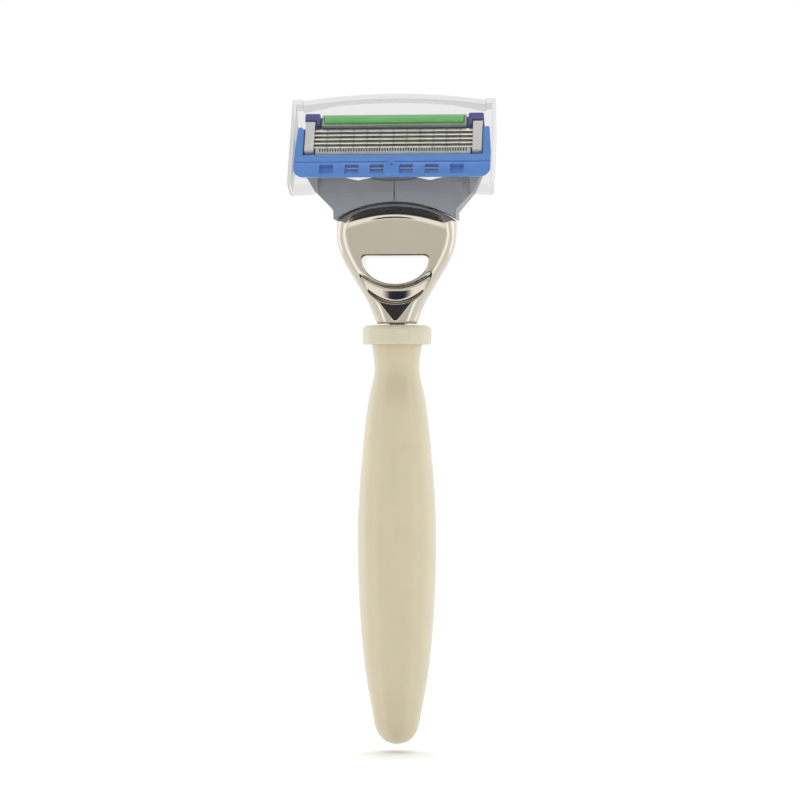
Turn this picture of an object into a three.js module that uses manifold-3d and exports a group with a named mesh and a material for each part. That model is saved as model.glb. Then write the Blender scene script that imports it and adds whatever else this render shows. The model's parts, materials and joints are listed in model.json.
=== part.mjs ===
// A cartridge razor: a turned resin handle, a chromed head with a thumb window, and a five-blade
// cartridge that tilts on its carrier and wears a clear travel cover.
// Millimetres. +Z runs up the handle to the cartridge, -Y is the shaving side, X is across.
// The origin is on the handle's axis, at the flat underside of the collar.
import * as THREE from 'three';
import { mergeVertices } from 'three/addons/utils/BufferGeometryUtils.js';
import Module from 'manifold-3d';

const wasm = await Module();
wasm.setup();

// ---- driving dimensions ----
const GAP = 0.3; // kept between pieces that touch
const PAST = 1; // how far a cutter runs past what it cuts
const ROUND = 40; // segments of a turned piece

const HANDLE_PROFILE = [ // radius and height down the turned handle
  [5.35, 0],
  [4.8, -5.4],
  [6.08, -11.8],
  [7.36, -22.5],
  [8.42, -38],
  [8.0, -56.6],
  [6.82, -69.4],
  [5.33, -77.9],
  [4.37, -82.2],
  [2.67, -84.4],
  [0, -85.3],
];
const NECK_TOP = 2.2; // the handle's spigot inside the collar
const NECK_R = 5.3;
const COLLAR_R = 7.35;
const COLLAR_H = 4.1;
const COLLAR_EDGE = 1.1;
const WASHER_H = 0.6;
const WASHER_GAP = 0.2;
const INSERT_R = 2.9;
const INSERT_LENGTH = 14;
const STUD_R = 1.7;
const STUD_TOP = 9.4;
const STUD_BOTTOM = -13.6;

const HEAD_BOTTOM = COLLAR_H + GAP;
const HEAD_HALF_WIDTH = [ // height and half width up the chromed head
  [4.3, 4.3],
  [8.6, 5.97],
  [12.9, 8.42],
  [17.2, 10.98],
  [20.6, 12.37],
  [24.5, 12.95],
  [31, 13.0],
];
const HEAD_HALF_DEPTH = [
  [4.3, 4.3],
  [10, 4.7],
  [17, 5.1],
  [24, 5.4],
  [31, 5.5],
];
const HEAD_CENTRE_Y = -0.5; // the head's middle at its top
const HEAD_SQUARENESS = [2, 3.6]; // superellipse power, ferrule and top
const ARC_R = 25; // the head's arched top edge
const ARC_TOP = 29.85;
const WINDOW = { halfWidth: 7.1, top: 18.7, corner: 0.6, drop: 5.9 };
const DISH = { halfWidth: 8.2, depth: 2.4, halfHeight: 2.3, y: -5.2, z: 10.15, curl: 0.047 };
const POCKET = { x: 7.6, y0: -4.4, y1: 3.2, z: 20.6 };

const CARTRIDGE_AT = [0, -8.5, 43.3]; // middle of the blade array
const TILT = THREE.MathUtils.degToRad(28); // the face leans back
const PIVOT = { y: 3.2, z: -6.1, r: 1.1 }; // on the cartridge's own axes
const PLUNGER_TIP = [0, -5.6, 37.1];
const PLUNGER_LEAN = THREE.MathUtils.degToRad(22);

const BLADE_COUNT = 5;
const BLADE_PITCH = 1.02;
const BLADE_HALF = 17.2;
const BLADE_LEAN = THREE.MathUtils.degToRad(21);
const CLIP_X = 17.7;
const CLIP_W = 2.0;

// ---- colours and finishes ----
const LOOK = {
  resin: { color: 0xdcd2b0, roughness: 0.35, metalness: 0 },
  collar: { color: 0xebe6cd, roughness: 0.3, metalness: 0 },
  rubber: { color: 0x2a2a2a, roughness: 0.8, metalness: 0 },
  brass: { color: 0xb08d4a, roughness: 0.35, metalness: 1 },
  steel: { color: 0xa8a8a8, roughness: 0.35, metalness: 1 },
  chrome: { color: 0xd8d0c0, roughness: 0.08, metalness: 1 },
  black: { color: 0x1c1c1e, roughness: 0.5, metalness: 0 },
  grey: { color: 0x8c8f93, roughness: 0.45, metalness: 0 },
  indigo: { color: 0x4b4b96, roughness: 0.4, metalness: 0 },
  blue: { color: 0x5089d0, roughness: 0.6, metalness: 0 },
  paleGrey: { color: 0xb9b8b2, roughness: 0.5, metalness: 0 },
  green: { color: 0x73c86e, roughness: 0.55, metalness: 0 },
  greyGreen: { color: 0x8fa08a, roughness: 0.5, metalness: 0 },
  aluminium: { color: 0xd7d4cd, roughness: 0.4, metalness: 1 },
  blade: { color: 0xc8c6b9, roughness: 0.25, metalness: 1 },
  clear: { color: 0xeef0ef, roughness: 0.1, metalness: 0, transparent: true, opacity: 0.3 },
};

// ---- shapes ----
function polygon(points) {
  const shape = new THREE.Shape();
  points.forEach(([a, b], i) => (i ? shape.lineTo(a, b) : shape.moveTo(a, b)));
  shape.closePath();
  return shape;
}

function rectangle(a0, b0, a1, b1) {
  return polygon([[a0, b0], [a1, b0], [a1, b1], [a0, b1]]);
}

function roundedRectangle(a0, b0, a1, b1, r) {
  const shape = new THREE.Shape();
  shape.absarc(a1 - r, b0 + r, r, -Math.PI / 2, 0, false);
  shape.absarc(a1 - r, b1 - r, r, 0, Math.PI / 2, false);
  shape.absarc(a0 + r, b1 - r, r, Math.PI / 2, Math.PI, false);
  shape.absarc(a0 + r, b0 + r, r, Math.PI, Math.PI * 1.5, false);
  shape.closePath();
  return shape;
}

function circle(a, b, r) {
  const shape = new THREE.Shape();
  shape.absarc(a, b, r, 0, Math.PI * 2, false);
  return shape;
}

// ---- solids: an outline pushed along an axis, or turned about one ----
function extrude(shape, depth, curveSegments) {
  return new THREE.ExtrudeGeometry(shape, { depth, bevelEnabled: false, curveSegments });
}

function place(geometry, across, up, out, origin) {
  const basis = new THREE.Matrix4().makeBasis(across, up, out);
  return solid(geometry.applyMatrix4(basis.setPosition(...origin)));
}

const X = new THREE.Vector3(1, 0, 0);
const Y = new THREE.Vector3(0, 1, 0);
const Z = new THREE.Vector3(0, 0, 1);

function alongX(shape, x0, x1, curveSegments = 8) { // the outline holds y, z
  return place(extrude(shape, x1 - x0, curveSegments), Y, Z, X, [x0, 0, 0]);
}

function alongY(shape, y0, y1, curveSegments = 8) { // the outline holds x, z
  return place(extrude(shape, y1 - y0, curveSegments), X, Z, Y.clone().negate(), [0, y1, 0]);
}

function alongZ(shape, z0, z1, curveSegments = 8) { // the outline holds x, y
  return place(extrude(shape, z1 - z0, curveSegments), X, Y, Z, [0, 0, z0]);
}

function block(x0, x1, y0, y1, z0, z1) {
  return alongZ(rectangle(x0, y0, x1, y1), z0, z1);
}

function turned(profile, segments = ROUND) { // radius, height
  const points = profile.map(([r, z]) => new THREE.Vector2(r, z));
  return solid(new THREE.LatheGeometry(points, segments).rotateX(Math.PI / 2));
}

function solid(geometry) {
  const bare = geometry.clone();
  bare.deleteAttribute('normal');
  bare.deleteAttribute('uv');
  const merged = mergeVertices(bare, 1e-4);
  const mesh = new wasm.Mesh({
    numProp: 3,
    vertProperties: new Float32Array(merged.attributes.position.array),
    triVerts: new Uint32Array(merged.index.array),
  });
  return new wasm.Manifold(mesh);
}

function join(...pieces) {
  return pieces.reduce((all, piece) => all.add(piece));
}

function cut(piece, ...tools) {
  return tools.reduce((left, tool) => left.subtract(tool), piece);
}

function bothSides(makeFor) { // the same piece on +X and -X
  return [makeFor(1), makeFor(-1)];
}

function span(side, near, far) { // an X range, mirrored for the other side
  return side > 0 ? [near, far] : [-far, -near];
}

function mirrored(points, side) { // an outline drawn for +X, or its mirror image in the same winding
  return polygon(side > 0 ? points : [...points].reverse().map(([x, z]) => [-x, z]));
}

function node(parent, name, body, look) {
  const mesh = body.getMesh();
  const geometry = new THREE.BufferGeometry();
  geometry.setAttribute('position', new THREE.BufferAttribute(mesh.vertProperties, 3));
  geometry.setIndex(new THREE.BufferAttribute(mesh.triVerts, 1));
  const piece = new THREE.Mesh(geometry, new THREE.MeshStandardMaterial(look));
  piece.name = name;
  parent.add(piece);
}

function splineAt(points, samples) {
  const curve = new THREE.CatmullRomCurve3(
    points.map(([a, b]) => new THREE.Vector3(a, b, 0)), false, 'centripetal');
  return curve.getPoints(samples).map((p) => [p.x, p.y]);
}

function valueAt(table, at) { // smooth interpolation in a height, value table
  const dense = splineAt(table, table.length * 12);
  const i = Math.max(1, dense.findIndex(([z]) => z >= at));
  const [[z0, v0], [z1, v1]] = [dense[i - 1], dense[i]];
  return v0 + ((v1 - v0) * (at - z0)) / (z1 - z0);
}

// ---- handle ----
const SPIGOT_BORE = INSERT_R + GAP;

function handleGrip() {
  const outer = splineAt(HANDLE_PROFILE, 34).filter(([r]) => r > 0.01);
  const floor = NECK_TOP - INSERT_LENGTH - 4;
  return turned([
    [0, floor],
    [SPIGOT_BORE, floor],
    [SPIGOT_BORE, NECK_TOP],
    [NECK_R, NECK_TOP],
    ...outer,
    [0, HANDLE_PROFILE.at(-1)[1]],
  ].reverse());
}

function neckCollar() {
  const recess = NECK_R + GAP;
  const ceiling = NECK_TOP + WASHER_H + 2 * WASHER_GAP;
  const bore = STUD_R + GAP;
  const edge = new THREE.Path().absarc(
    COLLAR_R - COLLAR_EDGE, COLLAR_H - COLLAR_EDGE, COLLAR_EDGE, 0, Math.PI / 2, false);
  const rim = edge.getPoints(6).map((p) => [p.x, p.y]);
  const heel = 0.35;
  return turned([
    [recess, 0],
    [COLLAR_R - heel, 0],
    [COLLAR_R, heel],
    ...rim,
    [bore, COLLAR_H],
    [bore, ceiling],
    [recess, ceiling],
    [recess, 0],
  ]);
}

function ring(inner, outer, z0, z1) {
  return turned([[inner, z0], [outer, z0], [outer, z1], [inner, z1], [inner, z0]]);
}

function tangStud() {
  const chamfer = 0.4;
  return turned([
    [0, STUD_BOTTOM],
    [STUD_R - chamfer, STUD_BOTTOM],
    [STUD_R, STUD_BOTTOM + chamfer],
    [STUD_R, STUD_TOP - chamfer],
    [STUD_R - chamfer, STUD_TOP],
    [0, STUD_TOP],
  ]);
}

// ---- chromed head ----
function headLoft(steps, around) { // superellipse sections from the round ferrule to the broad top
  const top = ARC_TOP + PAST;
  const positions = [];
  const indices = [];
  for (let i = 0; i <= steps; i += 1) {
    const t = i / steps;
    const z = HEAD_BOTTOM + t * (top - HEAD_BOTTOM);
    const a = valueAt(HEAD_HALF_WIDTH, z);
    const b = valueAt(HEAD_HALF_DEPTH, z);
    const power = 2 / (HEAD_SQUARENESS[0] + t * (HEAD_SQUARENESS[1] - HEAD_SQUARENESS[0]));
    for (let j = 0; j < around; j += 1) {
      const angle = (2 * Math.PI * j) / around;
      const c = Math.cos(angle);
      const s = Math.sin(angle);
      const x = a * Math.sign(c) * Math.abs(c) ** power;
      const y = b * Math.sign(s) * Math.abs(s) ** power + t * HEAD_CENTRE_Y;
      positions.push(x, y, z);
    }
  }
  const ends = [positions.length / 3, positions.length / 3 + 1];
  positions.push(0, 0, HEAD_BOTTOM, 0, HEAD_CENTRE_Y, top);
  for (let j = 0; j < around; j += 1) {
    const next = (j + 1) % around;
    for (let i = 0; i < steps; i += 1) {
      const [p, q, r, s] = [[i, j], [i, next], [i + 1, next], [i + 1, j]].map(
        ([row, column]) => row * around + column);
      indices.push(p, q, r, p, r, s);
    }
    indices.push(ends[0], next, j);
    indices.push(ends[1], steps * around + j, steps * around + next);
  }
  const geometry = new THREE.BufferGeometry();
  geometry.setAttribute('position', new THREE.Float32BufferAttribute(positions, 3));
  geometry.setIndex(indices);
  return solid(geometry);
}

function archedTop(lift) { // everything under the head's arched top edge, raised by lift
  return alongY(circle(0, ARC_TOP - ARC_R + lift, ARC_R), -20, 20, 48);
}

function headWindow() {
  const { halfWidth, top, corner, drop } = WINDOW;
  const shape = new THREE.Shape();
  shape.absarc(halfWidth - corner, top - corner, corner, 0, Math.PI / 2, false);
  shape.absarc(-halfWidth + corner, top - corner, corner, Math.PI / 2, Math.PI, false);
  shape.absellipse(0, top - corner, halfWidth, drop - corner, Math.PI, 2 * Math.PI, false);
  shape.closePath();
  return alongY(shape, -20, 20, 14);
}

function thumbDish() { // an ellipsoid whose ends curl upward under the window
  const ball = new THREE.SphereGeometry(1, 28, 14);
  ball.scale(DISH.halfWidth, DISH.depth, DISH.halfHeight);
  const at = ball.attributes.position;
  for (let i = 0; i < at.count; i += 1) {
    at.setZ(i, at.getZ(i) + DISH.curl * at.getX(i) ** 2);
  }
  return solid(ball.translate(0, DISH.y, DISH.z));
}

const SLOT = { x: 1.6, z0: 21.6, z1: 28 }; // the release button's slot through the back wall

function headCasting() {
  const studBore = alongZ(circle(0, 0, STUD_R + GAP), HEAD_BOTTOM - PAST, STUD_TOP + 0.4);
  const pocket = block(-POCKET.x, POCKET.x, POCKET.y0, POCKET.y1, POCKET.z, ARC_TOP + 2 * PAST);
  const slot = block(-SLOT.x, SLOT.x, POCKET.y1 - PAST, 20, SLOT.z0, SLOT.z1);
  const body = headLoft(20, 44).intersect(archedTop(0));
  return cut(body, headWindow(), thumbDish(), studBore, pocket, slot);
}

const DOCK_TOP = POCKET.z + GAP + 2.0;

function dockBody() { // the black seat that the cartridge carrier drops on
  const [y0, y1] = [POCKET.y0 + GAP, POCKET.y1 - GAP];
  const x = POCKET.x - GAP;
  const seat = block(-x, x, y0, y1, POCKET.z + GAP, DOCK_TOP);
  const notch = block(-SLOT.x - 0.6, SLOT.x + 0.6, y1 - 2.2, y1 + PAST, POCKET.z, DOCK_TOP + PAST);
  return cut(seat, notch);
}

// ---- release button at the back ----
const BUTTON = { x: 4, out: 1.8, z0: 19.4, z1: 25.4, travel: 3, tang: 2.6 };
const HEAD_BACK = 5.1; // the head's back face behind the pocket
const TANG_TOP = SLOT.z0 + GAP + BUTTON.tang - 0.4;
const BUTTON_SPRING = { r: 0.75, wire: 0.16, z0: TANG_TOP + 0.35, z1: SLOT.z1 - 0.35 };

function releaseButton() {
  const y0 = HEAD_BACK + GAP;
  const plate = alongY(
    roundedRectangle(-BUTTON.x, BUTTON.z0, BUTTON.x, BUTTON.z1, 1.2), y0, y0 + BUTTON.out);
  const x = SLOT.x - GAP;
  const tang = block(-x, x, POCKET.y1 - 1.6, y0 + 0.2, SLOT.z0 + GAP, TANG_TOP);
  const ribs = [0, 1, 2, 3].map((i) => {
    const z = BUTTON.z0 + 1.4 + i * 1.05;
    return block(-BUTTON.x + 1, BUTTON.x - 1, y0 + BUTTON.out - 0.35, y0 + BUTTON.out + PAST, z, z + 0.45);
  });
  return cut(join(plate, tang), ...ribs);
}

class Helix extends THREE.Curve {
  constructor(radius, z0, z1, turns) {
    super();
    Object.assign(this, { radius, z0, z1, turns });
  }

  getPoint(t, target = new THREE.Vector3()) {
    const angle = t * this.turns * 2 * Math.PI;
    return target.set(
      this.radius * Math.cos(angle), this.radius * Math.sin(angle), this.z0 + t * (this.z1 - this.z0));
  }
}

function coil(radius, wire, z0, z1, turns) {
  const section = new THREE.Shape();
  section.absarc(0, 0, wire, 0, 2 * Math.PI, false);
  return new THREE.ExtrudeGeometry(section, {
    extrudePath: new Helix(radius, z0, z1, turns),
    steps: turns * 12,
    curveSegments: 5,
    bevelEnabled: false,
  });
}

// ---- carrier, which drops on the head and holds the cartridge's pivots ----
function cartridgeToWorld(y, z) {
  return [
    CARTRIDGE_AT[1] + y * Math.cos(TILT) + z * Math.sin(TILT),
    CARTRIDGE_AT[2] - y * Math.sin(TILT) + z * Math.cos(TILT),
  ];
}

const PIVOT_AT = cartridgeToWorld(PIVOT.y, PIVOT.z);
const EAR = { x0: 16.0, x1: 18.6, pinOut: 1.2, pinR: 0.65 };
const CARRIER_TOP = 35.5;
const CARRIER_OUTLINE = [ // x, z of the right half, from the bottom up
  [13.0, 20],
  [13.0, 28.3],
  [13.5, 28.9],
  [16.8, 32.3],
  [18.6, 35.6],
  [18.6, 38],
];
const CARRIER_FRONT = [ // y, z down the middle of the carrier's front
  [-5.8, 20],
  [-6.0, 27],
  [-6.5, 31],
  [-7.15, CARRIER_TOP],
];
const CARRIER_SIDE = [ // y, z of the carrier's side view
  ...splineAt(CARRIER_FRONT, 12),
  [-3.2, CARRIER_TOP],
  [1.2, 31.8],
  [4.2, 29.0],
  [4.7, 20],
];
const PLUG = { x: POCKET.x - 0.35, y0: POCKET.y0 + 0.35, y1: POCKET.y1 - 0.35, z: DOCK_TOP + GAP };
const PLUG_SHOULDER = TANG_TOP + BUTTON.travel + GAP;

function leanWithPlunger(body) { // z along the plunger's axis, 0 at the middle of its round tip
  return body.rotate([THREE.MathUtils.radToDeg(PLUNGER_LEAN), 0, 0]).translate(PLUNGER_TIP);
}

const LENS = { r: 22, drop: 1.2, y: -6.65 }; // a shallow recess under the guard
const PLUNGER = { r: 0.8, flangeR: 1.0, length: 8.6, flange: 0.9, boreR: 1.3, boreDepth: 12.9 };
const PLUNGER_SPRING = {
  r: 0.85, wire: 0.18, z0: -PLUNGER.boreDepth + 0.35, z1: -PLUNGER.length - 0.35,
};

function carrierBody() {
  const side = alongX(polygon(CARRIER_SIDE), -20, 20);
  const plug = block(-PLUG.x, PLUG.x, PLUG.y0, PLUG.y1, PLUG.z, 32);
  return join(cut(side.intersect(carrierFront()), archedTop(GAP)), plug.intersect(side));
}

function carrierFront() { // everything inside the carrier's front outline
  const left = [...CARRIER_OUTLINE].reverse().map(([x, z]) => [-x, z]);
  return alongY(polygon([...CARRIER_OUTLINE, ...left]), -20, 20);
}

function carrierEar(side) {
  const [y, z] = PIVOT_AT;
  const knuckle = alongX(circle(y, z, PIVOT.r), ...span(side, EAR.x0, EAR.x1), 10);
  const arm = polygon([[y - 0.9, z - 0.94], [-6.4, 31], [-4.4, 33.5], [y + 1.13, z + 0.64]]);
  const shank = alongX(arm, ...span(side, EAR.x0, EAR.x1)).intersect(carrierFront());
  const pin = alongX(circle(y, z, EAR.pinR), ...span(side, EAR.x1 - 0.2, EAR.x1 + EAR.pinOut), 8);
  return join(knuckle, shank, pin);
}

function interconnect() {
  const tangRoom = block(-SLOT.x, SLOT.x, POCKET.y1 - 2, POCKET.y1 + PAST, PLUG.z - PAST, PLUG_SHOULDER);
  const bore = leanWithPlunger(
    alongZ(circle(0, 0, PLUNGER.boreR), -PLUNGER.boreDepth, -PLUNGER.length + 2.6, 6));
  const guide = leanWithPlunger(
    alongZ(circle(0, 0, PLUNGER.r + GAP), -PLUNGER.boreDepth, 4, 6));
  const notches = bothSides((side) => alongY(
    mirrored([[1.2, 36], [7.6, 34.5], [14.1, 36]], side), -20, 20));
  const lens = alongY(circle(0, CARRIER_TOP + LENS.r - LENS.drop, LENS.r), -20, LENS.y, 24);
  const seam = block(-0.12, 0.12, -20, -6.05, 29, 36);
  const body = join(carrierBody(), ...bothSides(carrierEar));
  return cut(body, tangRoom, bore, guide, seam, lens, ...notches);
}

function plunger() {
  const { r, flangeR, length, flange } = PLUNGER;
  const tip = [...Array(5).keys()].map((i) => {
    const angle = (i / 5) * (Math.PI / 2);
    return [r * Math.cos(angle), r * Math.sin(angle)];
  });
  return leanWithPlunger(turned([
    [0, -length],
    [flangeR, -length],
    [flangeR, -length + flange],
    [r, -length + flange],
    ...tip,
    [0, r],
  ], 20));
}

// ---- cartridge, on its own axes: x across, -y out of the shaving face, z up the face ----
const HOUSING_BACK = 4.4;
const HOUSING_FACE = 1.2; // front of the plain base
const SHELF = { back: 3.6, top: -4.8 }; // the base is thinner where it swings over the carrier
const UNDERSIDE = { z: -9.8, slope: 0.637 };
const BAY = { x: 17.5, z: 2.95, back: 3.3 }; // the blades' bay
const CLIP = { top: 4.1, bottom: -3.6, t: 0.35, front: -0.42, back: 4.95, hook: 1.4 };
const WINDOW_X = [3.05, 8.4, 13.7]; // guard windows on each side
const GUARD_WINDOW = { w: 2.85, z0: -9.45, z1: -7.3, slotZ: -8.15, blind: 1.1 };
const TAB = { r: 1.6, face: -1.6, root: -0.6, z: -8.25 }; // the thumb-shaped tab in the middle of the guard

function housing() {
  const outline = new THREE.Shape();
  const right = [[19.6, -9], [20.2, -8.2], [20.2, 1.6], [18.9, 3.4], [18.9, 5.4], [18.3, 6]];
  [...right, ...[...right].reverse().map(([x, z]) => [-x, z])].forEach(
    ([x, z], i) => (i ? outline.lineTo(x, z) : outline.moveTo(x, z)));
  const base = alongY(outline, HOUSING_FACE, HOUSING_BACK);
  const corners = bothSides((side) => alongY(
    roundedRectangle(...cornerSpan(side, 15.7, 18.9, 3.3, 6.0), 0.4), -0.3, HOUSING_FACE + 0.2, 4));
  const rails = bothSides((side) =>
    block(...span(side, BAY.x - 0.1, 18.6), 0.25, HOUSING_FACE + 0.2, -3.2, 3.4));
  const bay = block(-BAY.x, BAY.x, -PAST, BAY.back, -BAY.z, BAY.z);
  const rinse = [-13.8, -8.3, -2.8, 2.8, 8.3, 13.8].map((x) =>
    block(x - 2.2, x + 2.2, BAY.back - PAST, HOUSING_BACK + PAST, -2.2, 2.2));
  const clipRoom = bothSides((side) => clipSlots(side));
  const earRoom = bothSides((side) => block(
    ...span(side, EAR.x0 - GAP, EAR.x1 + GAP), PIVOT.y - PIVOT.r - GAP, HOUSING_BACK + PAST, -10, -4.2));
  const pinRoom = bothSides((side) => alongX(
    circle(PIVOT.y, PIVOT.z, EAR.pinR + 0.25), ...span(side, EAR.x1, EAR.x1 + EAR.pinOut + GAP), 8));
  const drains = WINDOW_X.slice(0, 2).flatMap((x) => [x, -x]).map((x) =>
    block(x - 1.6, x + 1.6, 0, HOUSING_BACK + PAST, -8.35, -6.6));
  const relief = block(-EAR.x0, EAR.x0, SHELF.back, HOUSING_BACK + PAST, -10, SHELF.top);
  return cut(
    join(base, ...corners, ...rails).intersect(cartridgeFrame(0.2)),
    bay, relief, ...rinse, ...clipRoom, ...earRoom, ...pinRoom, ...drains);
}

function cartridgeFrame(inset) { // the rounded front outline, whose lower edge rises towards the back
  const [x, z] = [GUARD.x - inset, UNDERSIDE.z + inset];
  const outline = roundedRectangle(-x, z, x, 8, GUARD.corner);
  const [y0, y1] = [-2, 6];
  const backward = new THREE.Vector3(0, -1, -UNDERSIDE.slope);
  return place(extrude(outline, y1 - y0, 8), X, Z, backward, [0, y1, y1 * UNDERSIDE.slope]);
}

function cornerSpan(side, x0, x1, z0, z1) {
  const [near, far] = span(side, x0, x1);
  return [near, z0, far, z1];
}

function clipSlots(side) { // where a clip's two legs go through to the back
  const [x0, x1] = span(side, CLIP_X - CLIP_W / 2 - GAP, CLIP_X + CLIP_W / 2 + GAP);
  const upper = block(x0, x1, -PAST, HOUSING_BACK + PAST, CLIP.top - CLIP.t - GAP, CLIP.top + GAP);
  const face = block(x0, x1, -PAST, CLIP.front + CLIP.t + GAP, 0, CLIP.top + GAP);
  const lower = block(
    x0, x1, -PAST, HOUSING_BACK + PAST, CLIP.bottom - GAP, CLIP.bottom + CLIP.t + GAP);
  return join(upper, face, lower);
}

function clip(side) {
  const { top, bottom, t, front, back, hook } = CLIP;
  const outline = polygon([
    [front, bottom + 0.3],
    [front + 0.3, bottom],
    [back, bottom],
    [back, bottom + hook],
    [back - t, bottom + hook],
    [back - t, bottom + t],
    [front + t, bottom + t],
    [front + t, top - t],
    [back - t, top - t],
    [back - t, top - hook],
    [back, top - hook],
    [back, top],
    [front + 0.3, top],
    [front, top - 0.3],
  ]);
  return alongX(outline, ...span(side, CLIP_X - CLIP_W / 2, CLIP_X + CLIP_W / 2));
}

const GUARD = { x: 20.6, corner: 2.4, top: -4.35, bottom: -9.95, nose: -1.25, back: HOUSING_FACE - GAP };

function guardElastomer() {
  const profile = polygon([ // y, z across the guard bar
    [GUARD.back, GUARD.top],
    [-0.35, GUARD.top],
    [-0.8, -4.75],
    [-0.95, -6.3],
    [-0.7, -6.55],
    [-1.1, -6.8],
    [GUARD.nose, -7.6],
    [-1.1, -9.4],
    [-0.6, GUARD.bottom],
    [0.1, -9.7],
    [GUARD.back, -9.2],
  ]);
  const bar = alongX(profile, -GUARD.x, GUARD.x).intersect(cartridgeFrame(0));
  const arms = bothSides((side) => {
    const right = [
      [18.95, -5.2], [GUARD.x, -5.2], [GUARD.x, -3.6], [20.2, 2.2], [19.5, 2.4], [18.95, 1.8]];
    return alongY(mirrored(right, side), -0.7, GUARD.back);
  });
  const tab = join(
    alongY(circle(0, TAB.z, TAB.r), TAB.face, TAB.root, 10),
    block(-TAB.r, TAB.r, TAB.face, TAB.root, GUARD.bottom + 0.25, TAB.z));
  const dimple = alongY(circle(0, TAB.z + 0.6, 0.35), TAB.face - PAST, TAB.face + 0.3, 3);
  const blind = WINDOW_X.flatMap((x) => [x, -x]).map((x) =>
    guardWindow(x, GUARD_WINDOW.z0, GUARD.nose + GUARD_WINDOW.blind));
  const open = WINDOW_X.slice(0, 2).flatMap((x) => [x, -x]).map((x) =>
    guardWindow(x, GUARD_WINDOW.slotZ, 2));
  return cut(join(bar, ...arms, tab), dimple, ...open, ...blind);
}

function guardWindow(x, z0, back) {
  const { w, z1 } = GUARD_WINDOW;
  return block(x - w / 2, x + w / 2, -3, back, z0, z1);
}

const COMB = { x: 16.3, z0: -4.05, z1: -2.65, root: -3.5, pitch: 0.55, slot: 0.3, face: -0.3, back: 0.9 };

function combGuard() { // a pale strip whose upper edge is cut into fine teeth
  const strip = alongX(polygon([
    [COMB.back, COMB.z0],
    [COMB.face + 0.25, COMB.z0],
    [COMB.face, COMB.z0 + 0.3],
    [COMB.face, COMB.z1 - 0.15],
    [COMB.face + 0.15, COMB.z1],
    [COMB.back, COMB.z1],
  ]), -COMB.x, COMB.x);
  const count = Math.floor((2 * COMB.x - 1) / COMB.pitch);
  const slots = [...Array(count).keys()].map((i) => {
    const x = (i - (count - 1) / 2) * COMB.pitch;
    const [x0, x1] = [x - COMB.slot / 2, x + COMB.slot / 2];
    return block(x0, x1, COMB.face - PAST, COMB.back + PAST, COMB.root, COMB.z1 + PAST);
  });
  return cut(strip, wasm.Manifold.union(slots));
}

function bladeSection(index) { // edge point and directions of one blade, in y, z
  const middle = (index - (BLADE_COUNT - 1) / 2) * BLADE_PITCH;
  const edge = [0, middle - 0.42];
  const along = [Math.sin(BLADE_LEAN), Math.cos(BLADE_LEAN)];
  const inward = [Math.cos(BLADE_LEAN), -Math.sin(BLADE_LEAN)];
  return (t, n) => [edge[0] + t * along[0] + n * inward[0], edge[1] + t * along[1] + n * inward[1]];
}

function blade(index) {
  const at = bladeSection(index);
  const thick = 0.1;
  return alongX(polygon([at(0, 0), at(0.22, thick), at(0.9, thick), at(0.9, 0)]), -BLADE_HALF, BLADE_HALF);
}

function bladeSupport(index) { // a bent strip: one leg behind the blade, one straight back
  const at = bladeSection(index);
  const [under, thick, back] = [0.22, 0.22, 2.9];
  const top = at(0.85, under);
  return alongX(polygon([
    at(0.2, under),
    at(0.2, under + thick),
    at(0.55, under + thick),
    [back, top[1] - 0.25],
    [back, top[1]],
    top,
  ]), -BLADE_HALF, BLADE_HALF);
}

const STRIP = { x: 15.25, z0: 3.15, z1: 5.8 };

function stripTray() {
  const outer = block(-STRIP.x, STRIP.x, -0.1, HOUSING_FACE - GAP, STRIP.z0, STRIP.z1);
  const inner = block(
    -STRIP.x + 0.4, STRIP.x - 0.4, -PAST, 0.55, STRIP.z0 + 0.35, STRIP.z1 - 0.35);
  return cut(outer, inner);
}

function lubricatingStrip() {
  const inset = 0.4 + 0.15;
  return alongX(polygon([
    [0.4, STRIP.z0 + inset],
    [-0.45, STRIP.z0 + inset],
    [-0.62, STRIP.z0 + inset + 0.35],
    [-0.62, STRIP.z1 - inset - 0.35],
    [-0.45, STRIP.z1 - inset],
    [0.4, STRIP.z1 - inset],
  ]), -STRIP.x + inset, STRIP.x - inset);
}

// ---- clear travel cover ----
const COVER = {
  x: 21.45, wall: 0.7, front: -3.0, back: 4.2, lowBack: 1.07, bottom: -13.6, lift: 0.9,
  top: 7.8, topBack: -0.6, corner: 0.9, tabX: 19.5, arch: 1.65, slitX: 15.45, slit: 0.5, slitTop: -11.4,
};

function coverOutline(inset) { // x, z: arched top between two corner tabs, arched bottom
  const x = COVER.x - inset;
  const bottom = COVER.bottom + inset;
  const top = COVER.top - inset;
  const corner = COVER.corner - inset * 0.8;
  const shape = new THREE.Shape();
  shape.moveTo(-x + corner, bottom);
  shape.quadraticCurveTo(0, bottom + 2 * COVER.lift, x - corner, bottom);
  shape.absarc(x - corner, bottom + corner, corner, -Math.PI / 2, 0, false);
  shape.lineTo(x, top);
  shape.lineTo(COVER.tabX, top);
  shape.lineTo(COVER.tabX - 0.3, top - 0.35);
  shape.quadraticCurveTo(0, top - 0.35 + 2 * COVER.arch, -COVER.tabX + 0.3, top - 0.35);
  shape.lineTo(-COVER.tabX, top);
  shape.lineTo(-x, top);
  shape.absarc(-x + corner, bottom + corner, corner, Math.PI, Math.PI * 1.5, false);
  shape.closePath();
  return shape;
}

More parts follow.
